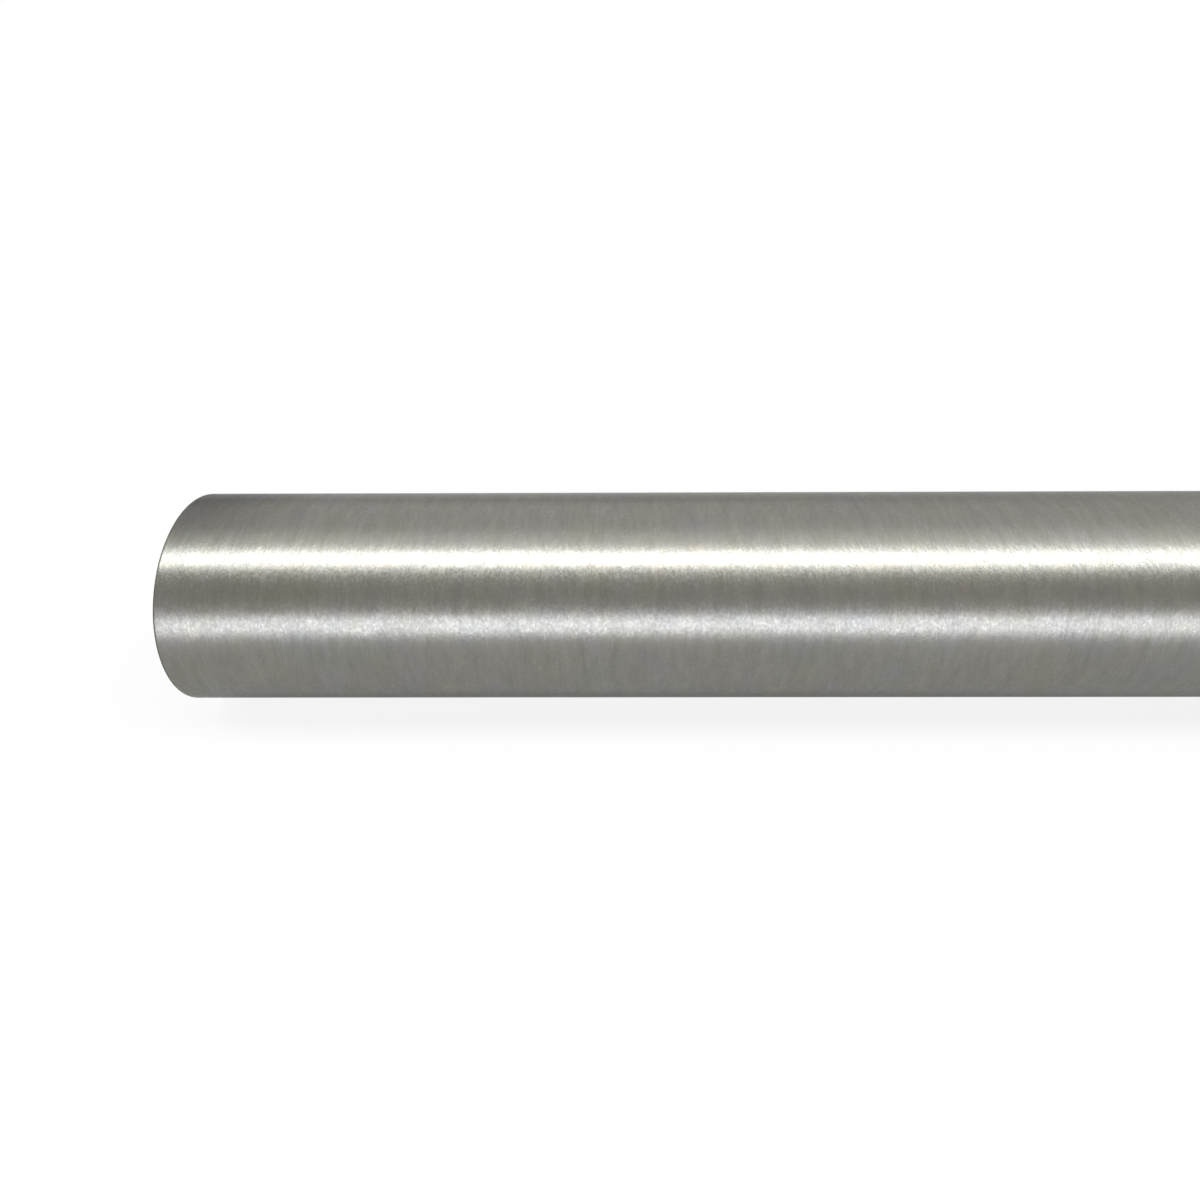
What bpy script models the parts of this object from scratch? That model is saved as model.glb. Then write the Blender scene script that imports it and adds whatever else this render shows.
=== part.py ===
"""Round metal curtain pole: one length of seam-welded steel tube, sawn square at both ends.

The pole lies along X with the middle of its axis at the origin and +Z up. Lengths are in metres.
Its section is drawn once, extruded over the whole length, and both ends are then deburred.
"""

import math

import bmesh
import bpy
from mathutils import Vector

MM = 0.001

# The tube, as curtain poles are sold
POLE_LENGTH = 1200 * MM
POLE_DIAMETER = 28 * MM
WALL = 1.0 * MM

# The corners of the sawn ends, broken where the saw's burr was taken off
OUTER_BREAK = 0.35 * MM
INNER_BREAK = 0.2 * MM
OUTER_BREAK_STEPS = 4
INNER_BREAK_STEPS = 2

# The bead that the weld leaves inside, where the edges of the rolled strip meet.
# It is the heaviest line of the tube, so a pole that lies freely comes to rest on it.
BEAD_WIDTH = 2.8 * MM
BEAD_HEIGHT = 0.25 * MM
BEAD_ANGLE = math.radians(-90)
BEAD_STEPS = 8

# Flat sides around the tube, a multiple of four, so that one of them faces straight down.
# Their middles lie at the real radius, and their edges a hair outside it.
SIDES = 64

STEEL_COLOUR = (0.23, 0.225, 0.21, 1.0)
STEEL_ROUGHNESS = 0.36
SMOOTH_ANGLE = math.radians(35)


def clear_scene():
    """Remove every object that the file opened with."""
    for obj in list(bpy.data.objects):
        bpy.data.objects.remove(obj, do_unlink=True)


def brushed_steel():
    """Return the material of the whole tube."""
    material = bpy.data.materials.new("brushed_steel")
    material.use_nodes = True
    shader = material.node_tree.nodes["Principled BSDF"]
    shader.inputs["Base Color"].default_value = STEEL_COLOUR
    shader.inputs["Metallic"].default_value = 1.0
    shader.inputs["Roughness"].default_value = STEEL_ROUGHNESS
    return material


def round_outline(radius):
    """Return the outline of a round section, as one (angle, distance) for each edge of its sides."""
    distance = radius / math.cos(math.pi / SIDES)
    return [(math.tau * (side + 0.5) / SIDES, distance) for side in range(SIDES)]


def bead_outline(radius):
    """Return the weld bead's outline: a raised cosine, which runs out into the bore on both sides."""
    outline = []
    for step in range(BEAD_STEPS + 1):
        across = BEAD_WIDTH * (step / BEAD_STEPS - 0.5)
        height = BEAD_HEIGHT * math.cos(math.pi * across / BEAD_WIDTH) ** 2
        outline.append((BEAD_ANGLE + across / radius, radius - height))
    return outline


def bore_outline():
    """Return the bore's outline: round, with the bead in place of the points that it covers."""
    radius = POLE_DIAMETER / 2 - WALL
    half_bead = BEAD_WIDTH / 2 / radius
    clear = [
        (angle, distance)
        for angle, distance in round_outline(radius)
        if abs(math.remainder(angle - BEAD_ANGLE, math.tau)) > half_bead
    ]
    return sorted(clear + bead_outline(radius), key=lambda point: point[0] % math.tau)


def closed_loop(bm, outline):
    """Draw an outline in the plane of the near end, and return its edges."""
    verts = [
        bm.verts.new((-POLE_LENGTH / 2, distance * math.cos(angle), distance * math.sin(angle)))
        for angle, distance in outline
    ]
    return [bm.edges.new((verts[index - 1], verts[index])) for index in range(len(verts))]


def corner_edges(bm, outside):
    """Return the corners of both sawn faces: the ones around the outside, or around the bore."""
    middle_of_wall = POLE_DIAMETER / 2 - WALL / 2
    chosen = []
    for edge in bm.edges:
        start, end = (vert.co for vert in edge.verts)
        across_wall = [math.hypot(point.y, point.z) > middle_of_wall for point in (start, end)]
        if start.x == end.x and across_wall == [outside, outside]:
            chosen.append(edge)
    return chosen


def deburr(bm, corners, width, steps):
    """Round the given corners to a width."""
    bmesh.ops.bevel(
        bm,
        geom=corners,
        offset=width,
        offset_type="OFFSET",
        segments=steps,
        profile=0.5,
        affect="EDGES",
        clamp_overlap=False,
    )


def tube_mesh():
    """Extrude the section into the tube, and deburr its ends."""
    bm = bmesh.new()
    outside = closed_loop(bm, round_outline(POLE_DIAMETER / 2))
    bore = closed_loop(bm, bore_outline())
    filled = bmesh.ops.triangle_fill(bm, edges=outside + bore, use_beauty=True)["geom"]
    sawn_face = [item for item in filled if isinstance(item, bmesh.types.BMFace)]
    far_end = bmesh.ops.extrude_face_region(bm, geom=sawn_face)["geom"]
    far_verts = [item for item in far_end if isinstance(item, bmesh.types.BMVert)]
    bmesh.ops.translate(bm, verts=far_verts, vec=Vector((POLE_LENGTH, 0, 0)))
    deburr(bm, corner_edges(bm, outside=True), OUTER_BREAK, OUTER_BREAK_STEPS)
    deburr(bm, corner_edges(bm, outside=False), INNER_BREAK, INNER_BREAK_STEPS)
    bmesh.ops.recalc_face_normals(bm, faces=bm.faces)
    mesh = bpy.data.meshes.new("pole_tube")
    bm.to_mesh(mesh)
    bm.free()
    mesh.shade_smooth()
    mesh.set_sharp_from_angle(angle=SMOOTH_ANGLE)
    return mesh


def main():
    """Build the pole as one object."""
    clear_scene()
    pole = bpy.data.objects.new("pole_tube", tube_mesh())
    pole.data.materials.append(brushed_steel())
    bpy.context.scene.collection.objects.link(pole)


main()
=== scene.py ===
"""Looks of a brushed steel curtain pole: its surfaces, their finishes, and the studio round it.

The pole lies along X on a pale floor, with its axis through the origin. Lengths are in metres.
"""

from __future__ import annotations

import logging
import math
from dataclasses import dataclass
from enum import Enum
from typing import Any

import bpy
import numpy as np
from mathutils import Matrix, Vector

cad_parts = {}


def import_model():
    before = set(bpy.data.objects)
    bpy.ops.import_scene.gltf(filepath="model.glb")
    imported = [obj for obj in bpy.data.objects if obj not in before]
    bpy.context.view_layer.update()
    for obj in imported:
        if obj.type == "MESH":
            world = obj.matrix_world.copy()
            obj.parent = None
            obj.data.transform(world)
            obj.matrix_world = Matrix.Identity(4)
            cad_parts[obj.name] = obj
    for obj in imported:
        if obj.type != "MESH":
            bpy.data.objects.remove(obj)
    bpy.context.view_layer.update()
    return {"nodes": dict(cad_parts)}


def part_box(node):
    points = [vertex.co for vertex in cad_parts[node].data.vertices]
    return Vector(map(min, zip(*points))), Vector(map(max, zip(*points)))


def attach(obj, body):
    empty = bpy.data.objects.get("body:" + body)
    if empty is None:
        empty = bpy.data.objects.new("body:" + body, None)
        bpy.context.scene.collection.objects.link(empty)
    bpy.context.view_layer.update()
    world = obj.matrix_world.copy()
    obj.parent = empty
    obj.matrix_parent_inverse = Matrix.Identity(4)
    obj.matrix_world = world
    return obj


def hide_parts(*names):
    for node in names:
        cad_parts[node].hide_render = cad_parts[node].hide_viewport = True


MM = 0.001
LOG = logging.getLogger("curtain_pole")

# Blender's noise hardly ever leaves this range
NOISE_RANGE = (0.3, 0.7)


class Surface(Enum):
    """The four surfaces of the tube, each with a finish of its own."""

    OUTSIDE = 0
    CORNER = 1
    SAWN_FACE = 2
    BORE = 3


def linear(code: str) -> tuple[float, float, float, float]:
    """Turn an sRGB hex colour into Blender's linear one.

    The curve is the sRGB standard's: straight near black, and a power of 2.4 above that.

    Args:
        code: the colour as six hex digits, such as "89888a".

    Returns:
        Red, green, blue and an alpha of one.
    """
    shares = [int(code[at : at + 2], 16) / 255 for at in (0, 2, 4)]
    red, green, blue = (
        share / 12.92 if share <= 0.04045 else ((share + 0.055) / 1.055) ** 2.4
        for share in shares
    )
    return red, green, blue, 1.0


def add_node(
    tree: bpy.types.NodeTree,
    kind: str,
    sockets: dict[str | int, Any] | None = None,
    **settings: Any,
) -> bpy.types.Node:
    """Add one node, with its settings, its values and its links.

    Args:
        tree: the node tree to add to.
        kind: Blender's name for the kind of node.
        sockets: for an input's name or number, its value or the output that feeds it.
        settings: the node's own properties.

    Returns:
        The new node.
    """
    node = tree.nodes.new(kind)
    for name, value in settings.items():
        setattr(node, name, value)
    for name, value in (sockets or {}).items():
        if isinstance(value, bpy.types.NodeSocket):
            tree.links.new(value, node.inputs[name])
        else:
            node.inputs[name].default_value = value
    return node


def new_material(name: str) -> tuple[bpy.types.Material, bpy.types.NodeTree]:
    """Make an empty node material.

    Args:
        name: the material's name.

    Returns:
        The material and its node tree, with nothing in it.
    """
    material = bpy.data.materials.new(name)
    material.use_nodes = True
    material.node_tree.nodes.clear()
    return material, material.node_tree


@dataclass(frozen=True)
class Marks:
    """One layer of tool marks: noise, stretched to a mark's size along X, Y and Z.

    Its detail adds finer octaves, each with the octave share of the last one's strength.
    """

    size: tuple[float, float, float]
    depth: float = 0.0
    detail: float = 1.0
    lean: float = 0.0
    octave_share: float = 0.65

    def noise(
        self, tree: bpy.types.NodeTree, place: bpy.types.NodeSocket
    ) -> bpy.types.NodeSocket:
        """Draw the marks.

        Args:
            tree: the material's node tree.
            place: the point's place on the object.

        Returns:
            The noise, which is 0.5 on the average.
        """
        stretched = add_node(
            tree,
            "ShaderNodeMapping",
            {"Vector": place, "Rotation": (0, self.lean, self.lean), "Scale": self.size},
            vector_type="TEXTURE",
        )
        noise = add_node(
            tree,
            "ShaderNodeTexNoise",
            {
                "Vector": stretched.outputs["Vector"],
                "Scale": 1.0,
                "Detail": self.detail,
                "Roughness": self.octave_share,
            },
        )
        return noise.outputs["Fac"]


@dataclass(frozen=True)
class Scratches:
    """Sparse scratches: they fade in where the noise of their marks rises above a level."""

    marks: Marks
    colour: str
    share: float
    above: float = 0.64
    fade: float = 0.1

    def over(
        self,
        tree: bpy.types.NodeTree,
        place: bpy.types.NodeSocket,
        colour: bpy.types.NodeSocket,
    ) -> bpy.types.NodeSocket:
        """Draw the scratches over a colour.

        Args:
            tree: the material's node tree.
            place: the point's place on the object.
            colour: the colour under them.

        Returns:
            The scratched colour.
        """
        strength = add_node(
            tree,
            "ShaderNodeMapRange",
            {
                "Value": self.marks.noise(tree, place),
                "From Min": self.above,
                "From Max": self.above + self.fade,
                "To Max": self.share,
            },
        )
        scratched = add_node(
            tree,
            "ShaderNodeMix",
            {"Factor": strength.outputs["Result"], "A": colour, "B": linear(self.colour)},
            data_type="RGBA",
        )
        return scratched.outputs[2]


@dataclass(frozen=True)
class Patches:
    """Faint patches, which drift between two tints."""

    size: float
    first: str
    second: str
    detail: float = 3.0

    def over(
        self,
        tree: bpy.types.NodeTree,
        place: bpy.types.NodeSocket,
        colour: bpy.types.NodeSocket,
    ) -> bpy.types.NodeSocket:
        """Tint a colour.

        Args:
            tree: the material's node tree.
            place: the point's place on the object.
            colour: the colour under them.

        Returns:
            The tinted colour.
        """
        noise = add_node(
            tree,
            "ShaderNodeTexNoise",
            {"Vector": place, "Scale": 1 / self.size, "Detail": self.detail},
        )
        tint = add_node(
            tree,
            "ShaderNodeMix",
            {"Factor": noise.outputs["Fac"], "A": linear(self.first), "B": linear(self.second)},
            data_type="RGBA",
        )
        tinted = add_node(
            tree,
            "ShaderNodeMix",
            {"Factor": 1.0, "A": colour, "B": tint.outputs[2]},
            data_type="RGBA",
            blend_type="MULTIPLY",
        )
        return tinted.outputs[2]


@dataclass(frozen=True)
class DarkenedSpot:
    """A soft darker spot: a ball round a point, which darkens what it covers."""

    centre: tuple[float, float, float]
    full_within: float = 2.0 * MM
    gone_beyond: float = 22.0 * MM
    tint: str = "a8a8a8"

    def over(
        self,
        tree: bpy.types.NodeTree,
        place: bpy.types.NodeSocket,
        colour: bpy.types.NodeSocket,
    ) -> bpy.types.NodeSocket:
        """Darken a colour near the spot's centre.

        Args:
            tree: the material's node tree.
            place: the point's place on the object.
            colour: the colour under it.

        Returns:
            The smudged colour.
        """
        away = add_node(
            tree, "ShaderNodeVectorMath", {0: place, 1: self.centre}, operation="DISTANCE"
        )
        strength = add_node(
            tree,
            "ShaderNodeMapRange",
            {
                "Value": away.outputs["Value"],
                "From Min": self.gone_beyond,
                "From Max": self.full_within,
            },
            interpolation_type="SMOOTHSTEP",
        )
        darkened = add_node(
            tree,
            "ShaderNodeMix",
            {"Factor": strength.outputs["Result"], "A": colour, "B": linear(self.tint)},
            data_type="RGBA",
            blend_type="MULTIPLY",
        )
        return darkened.outputs[2]


@dataclass(frozen=True)
class SteelFinish:
    """Bare steel, streaked and embossed by the marks of the tool that made its surface.

    The first layer of marks also streaks the colour. The last one varies the roughness, by the
    glitter at most. The edge tint dulls the steel where it is seen at a glancing angle.
    """

    name: str
    dark: str
    light: str
    roughness: float
    marks: tuple[Marks, ...]
    edge_tint: float = 0.7
    glitter: float = 0.06

    def colour(
        self,
        tree: bpy.types.NodeTree,
        place: bpy.types.NodeSocket,
        noises: list[bpy.types.NodeSocket],
    ) -> bpy.types.NodeSocket:
        """Streak the steel's grey.

        Args:
            tree: the material's node tree.
            place: the point's place on the object, not used here.
            noises: each layer's noise.

        Returns:
            The colour.
        """
        streaked = add_node(
            tree,
            "ShaderNodeMix",
            {"Factor": noises[0], "A": linear(self.dark), "B": linear(self.light)},
            data_type="RGBA",
        )
        return streaked.outputs[2]

    def gloss(
        self,
        tree: bpy.types.NodeTree,
        place: bpy.types.NodeSocket,
        noises: list[bpy.types.NodeSocket],
    ) -> dict[str, Any]:
        """Say how the steel shines.

        Args:
            tree: the material's node tree.
            place: the point's place on the object, not used here.
            noises: each layer's noise.

        Returns:
            The shader's roughness, and what else it needs.
        """
        rough = add_node(
            tree,
            "ShaderNodeMapRange",
            {
                "Value": noises[-1],
                "From Min": NOISE_RANGE[0],
                "From Max": NOISE_RANGE[1],
                "To Min": self.roughness - self.glitter,
                "To Max": self.roughness + self.glitter,
            },
        )
        return {"Roughness": rough.outputs["Result"]}

    def material(self) -> bpy.types.Material:
        """Build the finish.

        Returns:
            The material.
        """
        material, tree = new_material(self.name)
        place = add_node(tree, "ShaderNodeTexCoord").outputs["Object"]
        noises = [layer.noise(tree, place) for layer in self.marks]
        relief: dict[str, bpy.types.NodeSocket] = {}
        for layer, noise in zip(self.marks, noises):
            if layer.depth:
                bump = add_node(
                    tree, "ShaderNodeBump", {"Height": noise, "Distance": layer.depth, **relief}
                )
                relief = {"Normal": bump.outputs["Normal"]}
        steel = add_node(
            tree,
            "ShaderNodeBsdfPrincipled",
            {
                "Base Color": self.colour(tree, place, noises),
                "Metallic": 1.0,
                "Specular Tint": (self.edge_tint, self.edge_tint, self.edge_tint, 1.0),
                **self.gloss(tree, place, noises),
                **relief,
            },
        )
        add_node(tree, "ShaderNodeOutputMaterial", {"Surface": steel.outputs["BSDF"]})
        return material


@dataclass(frozen=True)
class BrushedSteel(SteelFinish):
    """Stainless steel tube, brushed by a belt while it turned, so the scratches run round it.

    To the eye: highlights drawn out along the pole, crisp but frayed across it, on a warm grey.
    The layers are the long scratches, two shorter grains that fray the highlights, and a fine
    dust of glossier and duller points that glitter in them. The glossier points are also painted
    paler, as painted glints, from where the belt pressed least to where it pressed most. Over it
    lie patches, dark hairlines, pale ones that lean, a rare pit, and the darker spots that the pole
    gives it.
    A belt's own lines are under 0.1 mm wide, too fine to show, so the lines here are drawn wider.
    """

    name: str = "brushed_stainless_steel"
    dark: str = "797874"
    light: str = "908e8b"
    roughness: float = 0.36
    marks: tuple[Marks, ...] = (
        Marks((1.0 * MM, 4.0 * MM, 4.0 * MM), depth=0.034 * MM, detail=2.0),
        Marks((0.4 * MM, 1.8 * MM, 1.8 * MM), depth=0.0215 * MM),
        Marks((0.28 * MM, 0.8 * MM, 0.8 * MM), depth=0.0085 * MM),
        Marks((0.32 * MM, 0.4 * MM, 0.4 * MM), depth=0.004 * MM),
    )
    scratches: tuple[Scratches, ...] = (
        Scratches(Marks((0.2 * MM, 4.0 * MM, 4.0 * MM)), "4c4b42", share=0.11),
        Scratches(
            Marks((0.22 * MM, 3.5 * MM, 3.5 * MM), lean=math.radians(-8)), "b7b5ae", share=0.09
        ),
    )
    patches: tuple[Patches, ...] = (
        Patches(4.0 * MM, "fafcef", "f8f8ff"),
        Patches(8.0 * MM, "fff9f3", "f6f9fb"),
    )
    # painted glints: the colour the glossier points are painted towards, where that starts, and its
    # share
    painted_glint: str = "c0beba"
    painted_glint_below: float = 0.45
    painted_glint_share: tuple[float, float] = (0.02, 0.12)
    drift: float = 0.025
    drift_length: float = 2.5 * MM
    drift_detail: float = 2.0
    anisotropy: float = 0.72
    across_the_scratches: float = 0.25
    pit: str = "454340"
    pit_spacing: float = 9.0 * MM
    pit_size: float = 0.16 * MM
    darkened_spots: tuple[DarkenedSpot, ...] = ()

    def press(
        self,
        tree: bpy.types.NodeTree,
        place: bpy.types.NodeSocket,
        least: float,
        most: float,
    ) -> bpy.types.NodeSocket:
        """Draw how hard the belt pressed, which drifts from patch to patch.

        Args:
            tree: the material's node tree.
            place: the point's place on the object.
            least: the value where it pressed least.
            most: the value where it pressed most.

        Returns:
            The value, between the two.
        """
        pressed = add_node(
            tree,
            "ShaderNodeTexNoise",
            {"Vector": place, "Scale": 1 / self.drift_length, "Detail": self.drift_detail},
        )
        spread = add_node(
            tree,
            "ShaderNodeMapRange",
            {
                "Value": pressed.outputs["Fac"],
                "From Min": NOISE_RANGE[0],
                "From Max": NOISE_RANGE[1],
                "To Min": least,
                "To Max": most,
            },
        )
        return spread.outputs["Result"]

    def colour(
        self,
        tree: bpy.types.NodeTree,
        place: bpy.types.NodeSocket,
        noises: list[bpy.types.NodeSocket],
    ) -> bpy.types.NodeSocket:
        """Streak the steel, paint its glossier points paler as painted glints, and lay all the rest
        over it.

        Args:
            tree: the material's node tree.
            place: the point's place on the object.
            noises: each layer's noise.

        Returns:
            The colour.
        """
        streaked = super().colour(tree, place, noises)
        # painted glints: the dust's glossier points are painted paler, more where the belt pressed
        # harder
        glossy = add_node(
            tree,
            "ShaderNodeMapRange",
            {
                "Value": noises[-1],
                "From Min": self.painted_glint_below,
                "From Max": NOISE_RANGE[0],
                "To Max": self.press(tree, place, *self.painted_glint_share),
            },
        )
        glinted = add_node(
            tree,
            "ShaderNodeMix",
            {"Factor": glossy.outputs["Result"], "A": streaked, "B": linear(self.painted_glint)},
            data_type="RGBA",
        )
        colour = glinted.outputs[2]
        for layer in (*self.patches, *self.scratches, *self.darkened_spots):
            colour = layer.over(tree, place, colour)
        cells = add_node(
            tree, "ShaderNodeTexVoronoi", {"Vector": place, "Scale": 1 / self.pit_spacing}
        )
        pitted = add_node(
            tree,
            "ShaderNodeMath",
            {0: cells.outputs["Distance"], 1: self.pit_size / self.pit_spacing},
            operation="LESS_THAN",
        )
        whole = add_node(
            tree,
            "ShaderNodeMix",
            {"Factor": pitted.outputs["Value"], "A": colour, "B": linear(self.pit)},
            data_type="RGBA",
        )
        return whole.outputs[2]

    def gloss(
        self,
        tree: bpy.types.NodeTree,
        place: bpy.types.NodeSocket,
        noises: list[bpy.types.NodeSocket],
    ) -> dict[str, Any]:
        """Let the gloss drift from patch to patch too, and stretch the highlights along X.

        Args:
            tree: the material's node tree.
            place: the point's place on the object.
            noises: each layer's noise.

        Returns:
            The shader's roughness, anisotropy and tangent.
        """
        fine = super().gloss(tree, place, noises)["Roughness"]
        rough = add_node(
            tree,
            "ShaderNodeMath",
            {0: fine, 1: self.press(tree, place, self.drift, -self.drift)},
            operation="ADD",
        )
        along = add_node(tree, "ShaderNodeTangent", direction_type="RADIAL", axis="X")
        return {
            "Roughness": rough.outputs["Value"],
            "Anisotropic": self.anisotropy,
            "Anisotropic Rotation": self.across_the_scratches,
            "Tangent": along.outputs["Tangent"],
        }


@dataclass(frozen=True)
class DeburredSteel(SteelFinish):
    """The corners of the sawn ends, rubbed round with a file.

    To the eye: a thin dull line, darker than the brushed wall.
    """

    name: str = "deburred_steel"
    dark: str = "5a5853"
    light: str = "6c6a64"
    roughness: float = 0.45
    marks: tuple[Marks, ...] = (Marks((0.3 * MM, 0.6 * MM, 0.6 * MM), depth=0.03 * MM),)


@dataclass(frozen=True)
class SawnSteel(SteelFinish):
    """The end faces as the band saw left them: bright, with fine straight lines across them."""

    name: str = "sawn_steel"
    dark: str = "85837e"
    light: str = "b4b1aa"
    roughness: float = 0.4
    marks: tuple[Marks, ...] = (
        Marks((1.0 * MM, 9.0 * MM, 0.16 * MM), depth=0.02 * MM, detail=2.0),
    )


@dataclass(frozen=True)
class RolledBore(SteelFinish):
    """The inside, as the strip was rolled: dull, with lines along it and a weld at the bottom.

    To the eye: paler steel than outside, but dark, because little light gets in. The weld's bead
    is straw-coloured by its heat, with a thin blue-grey line at each side.
    """

    name: str = "rolled_steel_bore"
    dark: str = "a5a29d"
    light: str = "c6c3bd"
    roughness: float = 0.58
    marks: tuple[Marks, ...] = (
        Marks((40.0 * MM, 0.4 * MM, 0.4 * MM), depth=0.02 * MM, detail=2.0),
        Marks((0.8 * MM, 0.8 * MM, 0.8 * MM), depth=0.02 * MM, detail=2.0),
    )
    straw: str = "b0935f"
    blue: str = "6f7889"
    straw_half_width: float = 1.3 * MM
    blue_half_width: float = 2.2 * MM
    heat_share: float = 0.7

    def colour(
        self,
        tree: bpy.types.NodeTree,
        place: bpy.types.NodeSocket,
        noises: list[bpy.types.NodeSocket],
    ) -> bpy.types.NodeSocket:
        """Lay the weld's heat colours along the bottom, over the rolled grey.

        Args:
            tree: the material's node tree.
            place: the point's place on the object.
            noises: each layer's noise.

        Returns:
            The colour.
        """
        colour = super().colour(tree, place, noises)
        split = add_node(tree, "ShaderNodeSeparateXYZ", {"Vector": place})
        below = add_node(
            tree, "ShaderNodeMath", {0: split.outputs["Z"], 1: 0.0}, operation="LESS_THAN"
        )
        aside = add_node(tree, "ShaderNodeMath", {0: split.outputs["Y"]}, operation="ABSOLUTE")
        lines = ((self.blue_half_width, self.blue), (self.straw_half_width, self.straw))
        for half_width, heat in lines:
            near = add_node(
                tree,
                "ShaderNodeMapRange",
                {
                    "Value": aside.outputs["Value"],
                    "From Min": half_width,
                    "From Max": half_width / 2,
                    "To Max": self.heat_share,
                },
                interpolation_type="SMOOTHSTEP",
            )
            share = add_node(
                tree,
                "ShaderNodeMath",
                {0: near.outputs["Result"], 1: below.outputs["Value"]},
                operation="MULTIPLY",
            )
            heated = add_node(
                tree,
                "ShaderNodeMix",
                {"Factor": share.outputs["Value"], "A": colour, "B": linear(heat)},
                data_type="RGBA",
            )
            colour = heated.outputs[2]
        return colour


@dataclass(frozen=True)
class PoleTube:
    """The pole: a round tube, welded along its lowest line and sawn square at both ends.

    The steps are the rows of faces along half a wall, round a broken corner and across the sawn
    face, and the support is the width of the wall's row next to a corner. The left end is darker
    round the point on its edge that lies so far behind the axis and above it.
    """

    length: float
    diameter: float
    wall: float = 1.0 * MM
    outer_break: float = 0.35 * MM
    inner_break: float = 0.2 * MM
    bead_width: float = 2.8 * MM
    bead_height: float = 0.25 * MM
    bead_angle: float = math.radians(-90)
    columns: int = 256
    wall_steps: int = 12
    corner_steps: int = 6
    face_steps: int = 4
    support: float = 0.2 * MM
    darkened_behind: float = 11.0 * MM
    darkened_above: float = 8.5 * MM

    def outline(self) -> tuple[np.ndarray, np.ndarray, np.ndarray]:
        """Work out the wall's outline in the half plane of x and the distance from the axis.

        It runs from the middle along the outside, round the right end, back through the bore, and
        then the same way mirrored. A broken corner is a quarter circle: its centre's place, plus
        the break times the sine or cosine of the turn.

        Returns:
            Each point's x, its radius, and the surface from there to the next point.
        """
        half, outer = self.length / 2, self.diameter / 2
        bore = outer - self.wall
        turn = np.linspace(0, math.pi / 2, self.corner_steps + 1)
        outside_x = np.linspace(0, half - self.outer_break - self.support, self.wall_steps)
        bore_x = np.linspace(half - self.inner_break - self.support, 0, self.wall_steps)
        face_from, face_to = outer - self.outer_break, bore + self.inner_break
        face_r = np.linspace(face_from, face_to, self.face_steps + 1)[1:-1]
        xs = np.concatenate(
            [
                outside_x,
                half - self.outer_break + self.outer_break * np.sin(turn),
                np.full_like(face_r, half),
                half - self.inner_break + self.inner_break * np.cos(turn),
                bore_x,
            ]
        )
        radii = np.concatenate(
            [
                np.full_like(outside_x, outer),
                face_from + self.outer_break * np.cos(turn),
                face_r,
                face_to - self.inner_break * np.sin(turn),
                np.full_like(bore_x, bore),
            ]
        )
        stretches = (
            (Surface.OUTSIDE, self.wall_steps),
            (Surface.CORNER, self.corner_steps),
            (Surface.SAWN_FACE, self.face_steps),
            (Surface.CORNER, self.corner_steps),
            (Surface.BORE, self.wall_steps),
        )
        kinds = np.repeat([part.value for part, _ in stretches], [steps for _, steps in stretches])
        return (
            np.concatenate([xs, -xs[-2:0:-1]]),
            np.concatenate([radii, radii[-2:0:-1]]),
            np.concatenate([kinds, kinds[::-1]]),
        )

    def bead(self, angles: np.ndarray) -> np.ndarray:
        """Work out the weld bead's height round the bore.

        It is a raised cosine: the height times the squared cosine of pi times the way across,
        over the bead's width, and zero beyond half that width.

        Args:
            angles: places round the tube.

        Returns:
            The bead's height at each.
        """
        bore = self.diameter / 2 - self.wall
        turn = np.mod(angles - self.bead_angle + math.pi, math.tau) - math.pi
        across = np.clip(bore * turn / self.bead_width, -0.5, 0.5)
        return self.bead_height * np.cos(math.pi * across) ** 2

    def surface(self) -> tuple[np.ndarray, np.ndarray, np.ndarray]:
        """Carry the outline round the axis.

        A point is (x, r cos a, r sin a), where r is the outline's radius less the bead in the bore.

        Returns:
            The points, the four corners of each face, and each face's surface.
        """
        xs, radii, kinds = self.outline()
        angles = math.tau * np.arange(self.columns) / self.columns
        middle_of_wall = self.diameter / 2 - self.wall / 2
        in_bore = np.where(radii < middle_of_wall, 1, 0)
        radius = radii[:, None] - in_bore[:, None] * self.bead(angles)
        along = np.broadcast_to(xs[:, None], radius.shape)
        points = np.stack([along, radius * np.cos(angles), radius * np.sin(angles)], axis=2)
        rows, columns = len(xs), self.columns
        row, column = np.meshgrid(np.arange(rows), np.arange(columns), indexing="ij")
        next_row, next_column = (row + 1) % rows, (column + 1) % columns
        corners = [(row, column), (row, next_column), (next_row, next_column), (next_row, column)]
        faces = np.stack([r * columns + c for r, c in corners], axis=2).reshape(-1, 4)
        return points.reshape(-1, 3), faces, np.repeat(kinds, columns)

    def build(self) -> bpy.types.Object:
        """Make the tube's object.

        Returns:
            The object, with no materials yet.
        """
        points, faces, kinds = self.surface()
        mesh = bpy.data.meshes.new("steel_tube")
        mesh.from_pydata(points.tolist(), [], faces.tolist())
        mesh.polygons.foreach_set("material_index", kinds)
        mesh.shade_smooth()
        mesh.update()
        tube = bpy.data.objects.new("steel_tube", mesh)
        bpy.context.scene.collection.objects.link(tube)
        return tube

    def dress(self, tube: bpy.types.Object) -> None:
        """Give each surface its finish, in the order of the Surface names.

        Args:
            tube: the tube's object.
        """
        # the left end is darker round this point, on its upper back edge
        darkened_spot = DarkenedSpot((-self.length / 2, self.darkened_behind, self.darkened_above))
        finishes = {
            Surface.OUTSIDE: BrushedSteel(darkened_spots=(darkened_spot,)),
            Surface.CORNER: DeburredSteel(),
            Surface.SAWN_FACE: SawnSteel(),
            Surface.BORE: RolledBore(),
        }
        for part in Surface:
            tube.data.materials.append(finishes[part].material())


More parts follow.
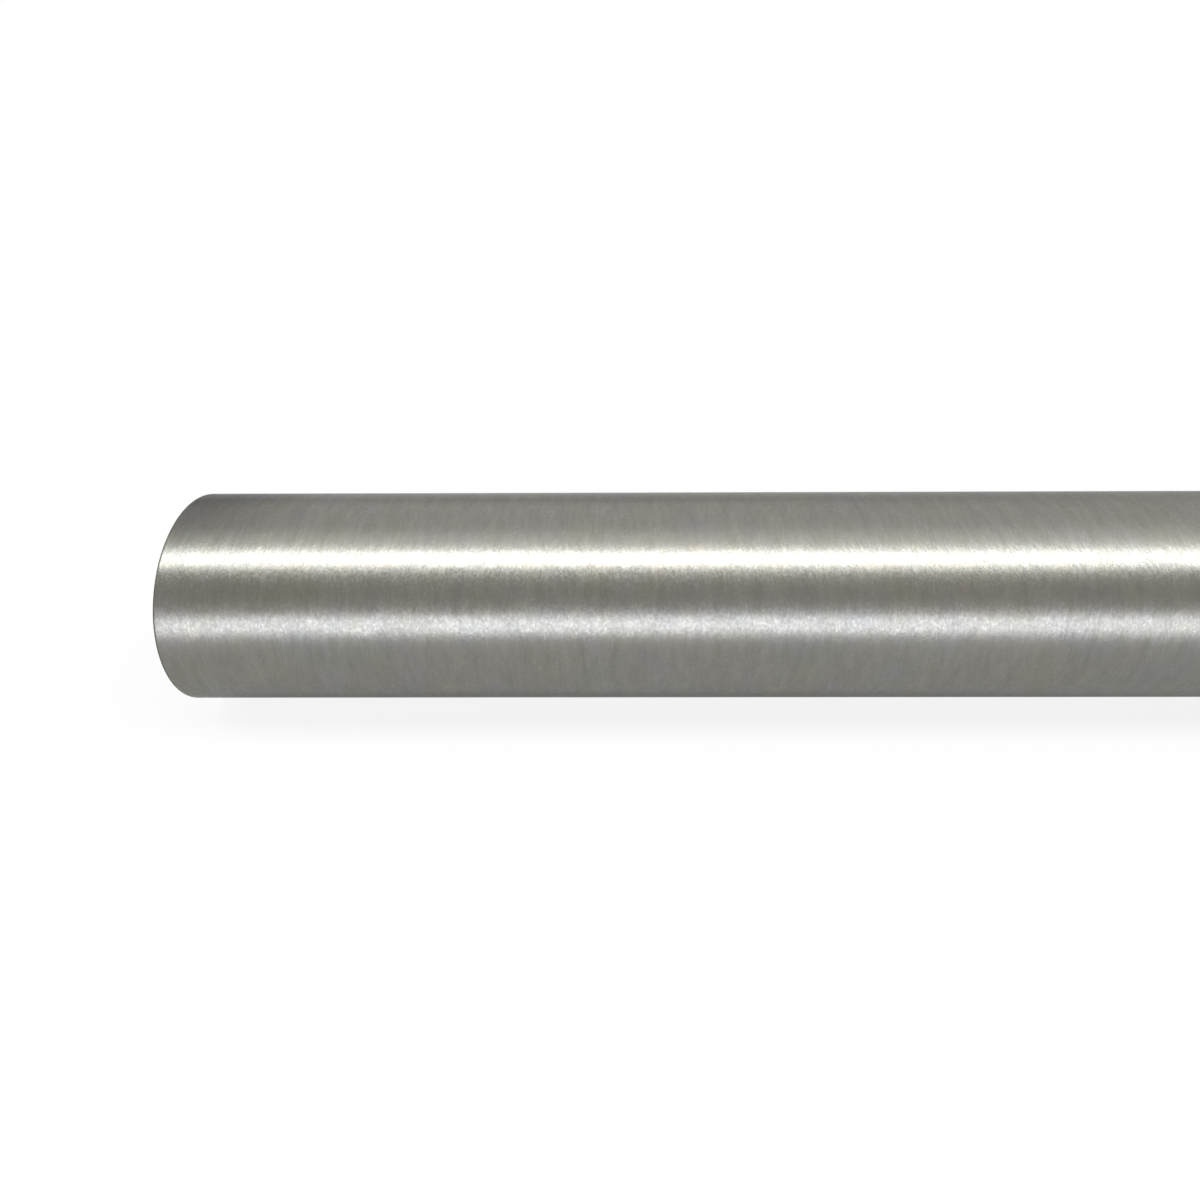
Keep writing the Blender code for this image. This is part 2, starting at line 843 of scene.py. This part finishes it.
@dataclass(frozen=True)
class Softbox:
    """A long softbox beside or above the pole, which runs along it.

    Its elevation is measured from the level on the camera's side, so more than 90 is behind the
    pole. Its spread is how wide it looks from the pole, and its skew turns its right end to the
    back, all in degrees. Its colour is linear and may pass one.
    """

    name: str
    elevation: float
    spread: float
    radiance: float
    colour: tuple[float, float, float]
    left: float = -4.0
    right: float = 4.0
    distance: float = 2.2
    skew: float = 0.0

    def place(self) -> None:
        """Hang the softbox, facing the pole.

        Its width is twice the distance times the tangent of half its spread, and its power is
        pi times its area times its radiance.
        """
        width = 2 * self.distance * math.tan(math.radians(self.spread) / 2)
        lamp = bpy.data.lights.new(self.name, "AREA")
        lamp.shape = "RECTANGLE"
        length = self.right - self.left
        lamp.size = length
        lamp.size_y = width
        lamp.color = self.colour
        lamp.energy = math.pi * length * width * self.radiance
        up = math.radians(self.elevation)
        way = Vector((0, -math.cos(up), math.sin(up)))
        holder = bpy.data.objects.new(self.name, lamp)
        centre = way * self.distance + Vector(((self.left + self.right) / 2, 0, 0))
        facing = Matrix.Rotation(math.pi / 2 - up, 3, "X")
        turned = facing @ Matrix.Rotation(math.radians(self.skew), 3, "Z")
        holder.matrix_world = Matrix.Translation(centre) @ turned.to_4x4()
        holder.visible_camera = False
        bpy.context.scene.collection.objects.link(holder)


@dataclass(frozen=True)
class Studio:
    """A pale floor and a pale room, with four long softboxes along the pole.

    The strong softbox overhead and the cooler one in front make the two highlights, and the two
    faint ones are what the ceiling and the wall behind throw back. The floor's matt share fades
    out between its two clean distances. In reflections the room's wall and ceiling are as bright
    as their values say, and the fill is the share of that which lights. The wall fades into the
    ceiling between two elevations, in degrees. The ceiling changes to the back and is dimmer by
    the left share to the left, going by the direction's Y and X.
    """

    floor_radius: float = 12.0
    floor_columns: int = 96
    floor_colour: str = "d6d6d6"
    own_white: float = 0.84
    white_in_metal: float = 0.5
    glow_in_metal: float = 0.93
    clean_from: float = 0.35
    clean_at: float = 1.5
    wall: float = 0.8
    front_ceiling: float = 0.76
    back_ceiling: float = 0.8
    left_share: float = 0.8
    wall_top: tuple[float, float] = (22.0, 42.0)
    behind: tuple[float, float] = (0.0, 0.3)
    to_the_left: tuple[float, float] = (-0.5, -0.15)
    front_tint: str = "fffcf6"
    tint_fade: float = 0.1
    room_fill: float = 0.12
    softboxes: tuple[Softbox, ...] = (
        Softbox(
            "overhead_softbox",
            elevation=85.25,
            spread=14.6,
            radiance=9.1,
            colour=(1.0, 1.025, 1.03),
            right=3.0,
            skew=-1.6,
        ),
        Softbox(
            "ceiling_bounce",
            elevation=105.0,
            spread=26.0,
            radiance=0.5,
            colour=(1.0, 1.01, 0.93),
            right=2.0,
        ),
        Softbox(
            "front_softbox",
            elevation=13.2,
            spread=17.8,
            radiance=4.3,
            colour=(0.94, 0.985, 1.1),
            left=-3.2,
        ),
        Softbox(
            "back_softbox",
            elevation=132.0,
            spread=78.0,
            radiance=0.4,
            colour=(1.0, 1.0, 1.0),
            left=-2.4,
        ),
    )

    def floor(self, height: float) -> None:
        """Lay the floor, a round sheet.

        Args:
            height: the floor's z.
        """
        angles = math.tau * np.arange(self.floor_columns) / self.floor_columns
        around_x, around_y = self.floor_radius * np.cos(angles), self.floor_radius * np.sin(angles)
        rim = np.stack([around_x, around_y, np.full_like(angles, height)], axis=1)
        mesh = bpy.data.meshes.new("studio_floor")
        mesh.from_pydata(rim.tolist(), [], [list(range(self.floor_columns))])
        floor = bpy.data.objects.new("studio_floor", mesh)
        mesh.materials.append(self.floor_material())
        bpy.context.scene.collection.objects.link(floor)

    def floor_material(self) -> bpy.types.Material:
        """Build the floor's paint: white by its own light where the camera or a reflection looks.

        Near the pole a share of it is matt paint, which takes the pole's shadow. Further off the
        share fades out, so the floor meets the room without a line. In the metal's reflections
        more of it is paint, and its own light is a little weaker.

        Returns:
            The material.
        """
        material, tree = new_material("matt_white_floor")
        place = add_node(tree, "ShaderNodeTexCoord").outputs["Object"]
        distance = add_node(tree, "ShaderNodeVectorMath", {0: place}, operation="LENGTH")
        share = add_node(
            tree,
            "ShaderNodeMapRange",
            {
                "Value": distance.outputs["Value"],
                "From Min": self.clean_from,
                "From Max": self.clean_at,
                "To Min": self.own_white,
                "To Max": 1.0,
            },
        )
        seen = self.seen_directly(tree, self.white_in_metal)
        white = add_node(
            tree, "ShaderNodeMath", {0: share.outputs["Result"], 1: seen}, operation="MULTIPLY"
        )
        paint = add_node(tree, "ShaderNodeBsdfDiffuse", {"Color": linear(self.floor_colour)})
        path = add_node(tree, "ShaderNodeLightPath")
        brightness = add_node(
            tree,
            "ShaderNodeMath",
            {0: path.outputs["Is Camera Ray"], 1: self.glow_in_metal},
            operation="MAXIMUM",
        )
        glow = add_node(
            tree,
            "ShaderNodeEmission",
            {"Color": linear("ffffff"), "Strength": brightness.outputs["Value"]},
        )
        mixed = add_node(
            tree,
            "ShaderNodeMixShader",
            {0: white.outputs["Value"], 1: paint.outputs["BSDF"], 2: glow.outputs["Emission"]},
        )
        add_node(tree, "ShaderNodeOutputMaterial", {"Surface": mixed.outputs["Shader"]})
        return material

    @staticmethod
    def seen_directly(tree: bpy.types.NodeTree, in_metal: float = 1.0) -> bpy.types.NodeSocket:
        """Tell rays that show a thing, straight or by reflection, from those that only light it.

        Args:
            tree: the node tree to add to.
            in_metal: the output for glossy rays.

        Returns:
            One for camera and transmission rays, and zero for those that only light.
        """
        path = add_node(tree, "ShaderNodeLightPath")
        mirrored = add_node(
            tree,
            "ShaderNodeMath",
            {0: path.outputs["Is Glossy Ray"], 1: in_metal},
            operation="MULTIPLY",
        )
        first = add_node(
            tree,
            "ShaderNodeMath",
            {0: path.outputs["Is Camera Ray"], 1: mirrored.outputs["Value"]},
            operation="MAXIMUM",
        )
        both = add_node(
            tree,
            "ShaderNodeMath",
            {0: first.outputs["Value"], 1: path.outputs["Is Transmission Ray"]},
            operation="MAXIMUM",
        )
        return both.outputs["Value"]

    def room_shade(self, tree: bpy.types.NodeTree) -> bpy.types.NodeSocket:
        """Shade the room: its wall in one grey, and its ceiling by where it is.

        Args:
            tree: the world's node tree.

        Returns:
            The room's brightness in the ray's direction.
        """
        way = add_node(tree, "ShaderNodeTexCoord").outputs["Generated"]
        split = add_node(tree, "ShaderNodeSeparateXYZ", {"Vector": way})
        behind = add_node(
            tree,
            "ShaderNodeMapRange",
            {
                "Value": split.outputs["Y"],
                "From Min": self.behind[0],
                "From Max": self.behind[1],
                "To Min": self.front_ceiling,
                "To Max": self.back_ceiling,
            },
            interpolation_type="SMOOTHSTEP",
        )
        left = add_node(
            tree,
            "ShaderNodeMapRange",
            {
                "Value": split.outputs["X"],
                "From Min": self.to_the_left[0],
                "From Max": self.to_the_left[1],
                "To Min": self.left_share,
                "To Max": 1.0,
            },
            interpolation_type="SMOOTHSTEP",
        )
        ceiling = add_node(
            tree,
            "ShaderNodeMath",
            {0: behind.outputs["Result"], 1: left.outputs["Result"]},
            operation="MULTIPLY",
        )
        high = add_node(
            tree,
            "ShaderNodeMapRange",
            {
                "Value": split.outputs["Z"],
                "From Min": math.sin(math.radians(self.wall_top[0])),
                "From Max": math.sin(math.radians(self.wall_top[1])),
            },
            interpolation_type="SMOOTHSTEP",
        )
        shade = add_node(
            tree,
            "ShaderNodeMix",
            {"Factor": high.outputs["Result"], "A": self.wall, "B": ceiling.outputs["Value"]},
            data_type="FLOAT",
        )
        return shade.outputs[0]

    def room_tint(
        self, tree: bpy.types.NodeTree, to_camera: bpy.types.NodeSocket
    ) -> bpy.types.NodeSocket:
        """Tint the room: a little warmer in front, and white behind and to the camera.

        Args:
            tree: the world's node tree.
            to_camera: one for rays that the camera sees.

        Returns:
            The room's colour in the ray's direction.
        """
        way = add_node(tree, "ShaderNodeTexCoord").outputs["Generated"]
        split = add_node(tree, "ShaderNodeSeparateXYZ", {"Vector": way})
        behind = add_node(
            tree,
            "ShaderNodeMapRange",
            {
                "Value": split.outputs["Y"],
                "From Min": -self.tint_fade,
                "From Max": self.tint_fade,
            },
            interpolation_type="SMOOTHSTEP",
        )
        white = add_node(
            tree,
            "ShaderNodeMath",
            {0: behind.outputs["Result"], 1: to_camera},
            operation="MAXIMUM",
        )
        tint = add_node(
            tree,
            "ShaderNodeMix",
            {"Factor": white.outputs["Value"], "A": linear(self.front_tint), "B": linear("ffffff")},
            data_type="RGBA",
        )
        return tint.outputs[2]

    def room(self) -> None:
        """Paint the room: pure white to the camera, greyer in reflections, dimmer as a light."""
        world = bpy.data.worlds.new("pale_room")
        bpy.context.scene.world = world
        world.use_nodes = True
        tree = world.node_tree
        tree.nodes.clear()
        path = add_node(tree, "ShaderNodeLightPath")
        strength = add_node(
            tree,
            "ShaderNodeMapRange",
            {"Value": self.seen_directly(tree), "To Min": self.room_fill, "To Max": 1.0},
        )
        light = add_node(
            tree,
            "ShaderNodeMath",
            {0: self.room_shade(tree), 1: strength.outputs["Result"]},
            operation="MULTIPLY",
        )
        white = add_node(
            tree,
            "ShaderNodeMath",
            {0: light.outputs["Value"], 1: path.outputs["Is Camera Ray"]},
            operation="MAXIMUM",
        )
        background = add_node(
            tree,
            "ShaderNodeBackground",
            {
                "Color": self.room_tint(tree, path.outputs["Is Camera Ray"]),
                "Strength": white.outputs["Value"],
            },
        )
        add_node(tree, "ShaderNodeOutputWorld", {"Surface": background.outputs["Background"]})

    def light(self) -> None:
        """Hang the softboxes."""
        for softbox in self.softboxes:
            softbox.place()


@dataclass(frozen=True)
class PhotoCamera:
    """The photograph's camera: close to the pole's left end, looking down at it.

    It stands `distance` from the pole's axis, `from_end` to the right of the left end. Its angles
    are in degrees, from the line that meets the axis at a right angle.
    """

    elevation: float = 48.0
    distance: float = 108.7 * MM
    from_end: float = 55.46 * MM
    yaw: float = -0.45
    tilt: float = -8.71
    roll: float = -0.11
    picture: float = 1200.0
    focal_pixels: float = 770.0
    centre_row: float = 475.0
    sensor: float = 36.0
    nearest: float = 1.0 * MM

    def place(self, left_end: float) -> bpy.types.Object:
        """Make the camera.

        The lens is the focal length in pixels times the sensor over the picture's width, and the
        shift is the picture's middle row less the lens's own row, over the picture's height.

        Args:
            left_end: the x of the pole's left end.

        Returns:
            The camera object.
        """
        data = bpy.data.cameras.new("photo_camera")
        data.sensor_width = self.sensor
        data.lens = self.focal_pixels * self.sensor / self.picture
        data.shift_y = (self.centre_row - self.picture / 2) / self.picture
        data.clip_start = self.nearest
        down = Matrix.Rotation(math.radians(-self.elevation), 3, "X")
        turned = (
            Matrix.Rotation(math.radians(-self.yaw), 3, "Z")
            @ Matrix.Rotation(math.radians(-self.tilt), 3, "X")
            @ Matrix.Rotation(math.radians(-self.roll), 3, "Y")
        )
        upright = Matrix.Rotation(math.pi / 2, 3, "X")
        camera = bpy.data.objects.new("photo_camera", data)
        away = down @ Vector((0, -self.distance, 0))
        stand = Matrix.Translation(away + Vector((left_end + self.from_end, 0, 0)))
        camera.matrix_world = stand @ (down @ turned @ upright).to_4x4()
        bpy.context.scene.collection.objects.link(camera)
        bpy.context.scene.camera = camera
        return camera


def main() -> None:
    """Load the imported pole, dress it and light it."""
    logging.basicConfig(level=logging.INFO, format="%(message)s")
    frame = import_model()
    low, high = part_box("pole_tube")
    pole = PoleTube(length=high[0] - low[0], diameter=high[2] - low[2])
    LOG.info("frame: %s nodes, pole %.1f mm long", len(frame["nodes"]), pole.length / MM)

    tube = pole.build()
    pole.dress(tube)
    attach(tube, "root")
    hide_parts("pole_tube")
    LOG.info("steel_tube: %s faces", len(tube.data.polygons))

    PhotoCamera().place(left_end=low[0])
    studio = Studio()
    studio.floor(height=low[2])
    studio.room()
    studio.light()
    bpy.context.scene.view_settings.view_transform = "Standard"
    LOG.info("studio: floor, room and softboxes")


if __name__ == "__main__":
    main()
